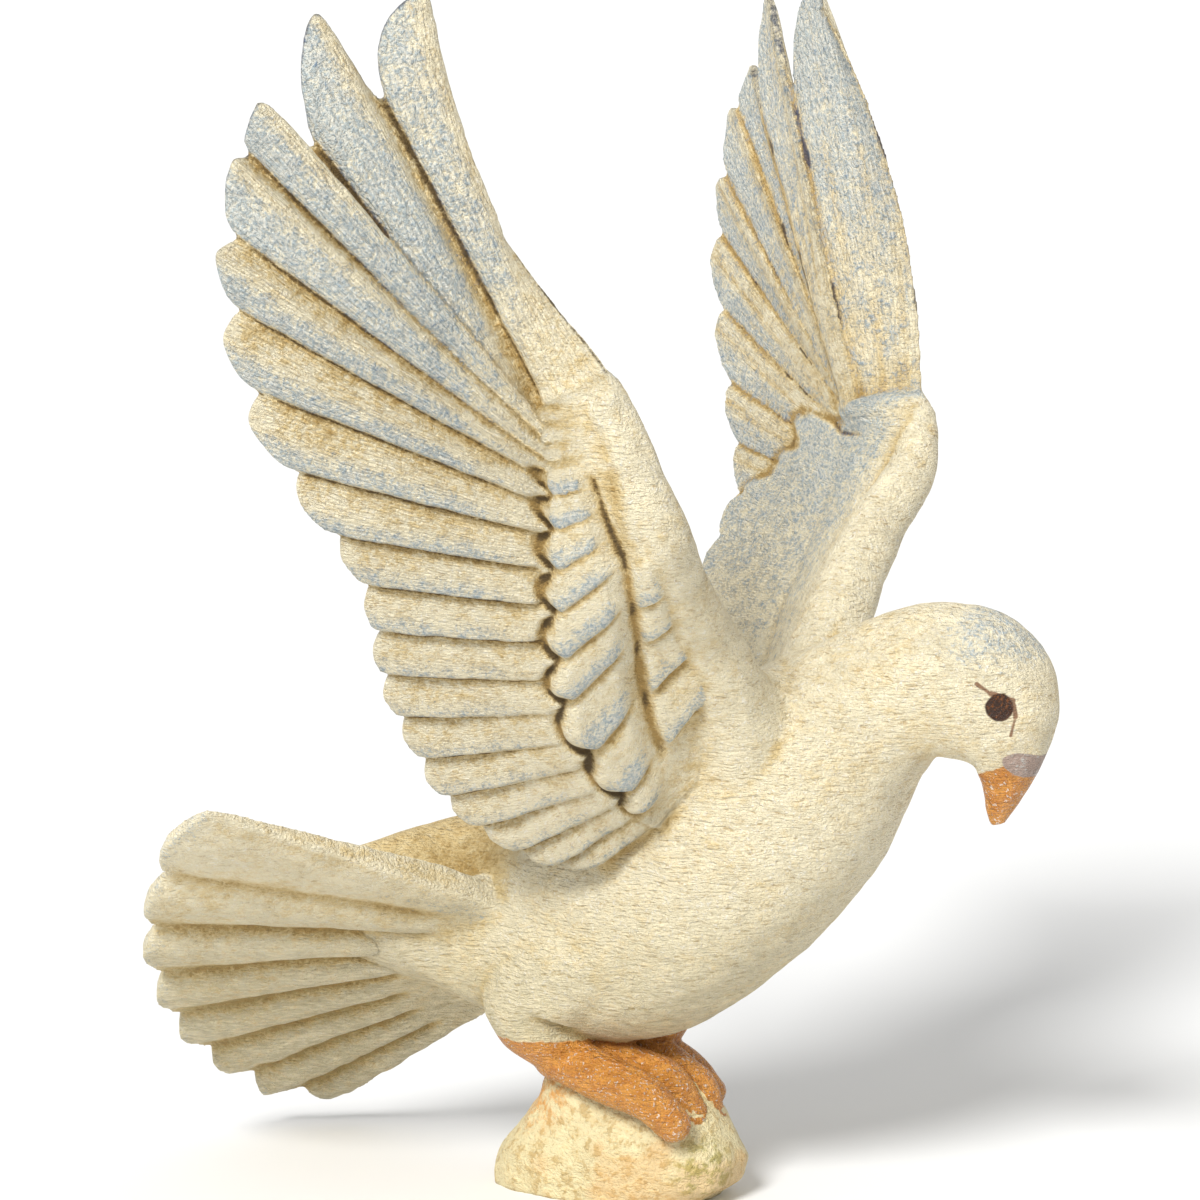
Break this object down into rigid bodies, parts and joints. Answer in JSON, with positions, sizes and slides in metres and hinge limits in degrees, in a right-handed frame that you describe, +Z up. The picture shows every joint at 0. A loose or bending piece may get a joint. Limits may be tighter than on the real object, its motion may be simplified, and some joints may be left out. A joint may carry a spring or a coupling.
{
  "type": "dove statue",
  "caption": "Painted wood carving of a dove with raised wings, bent head and fanned tail, perched on a small rock with a flat underside.",
  "frame": {"origin": "on the rock's flat underside, below the bird's middle plane", "axes": "+X the way the bird faces, +Y its left side, +Z up"},
  "size_m": [0.1837, 0.2061, 0.2375],
  "materials": {
    "painted_wood": "satin"
  },
  "bodies": {
    "root": {"dove": "painted_wood", "right_wing": "painted_wood", "left_wing": "painted_wood"}
  },
  "joints": []
}
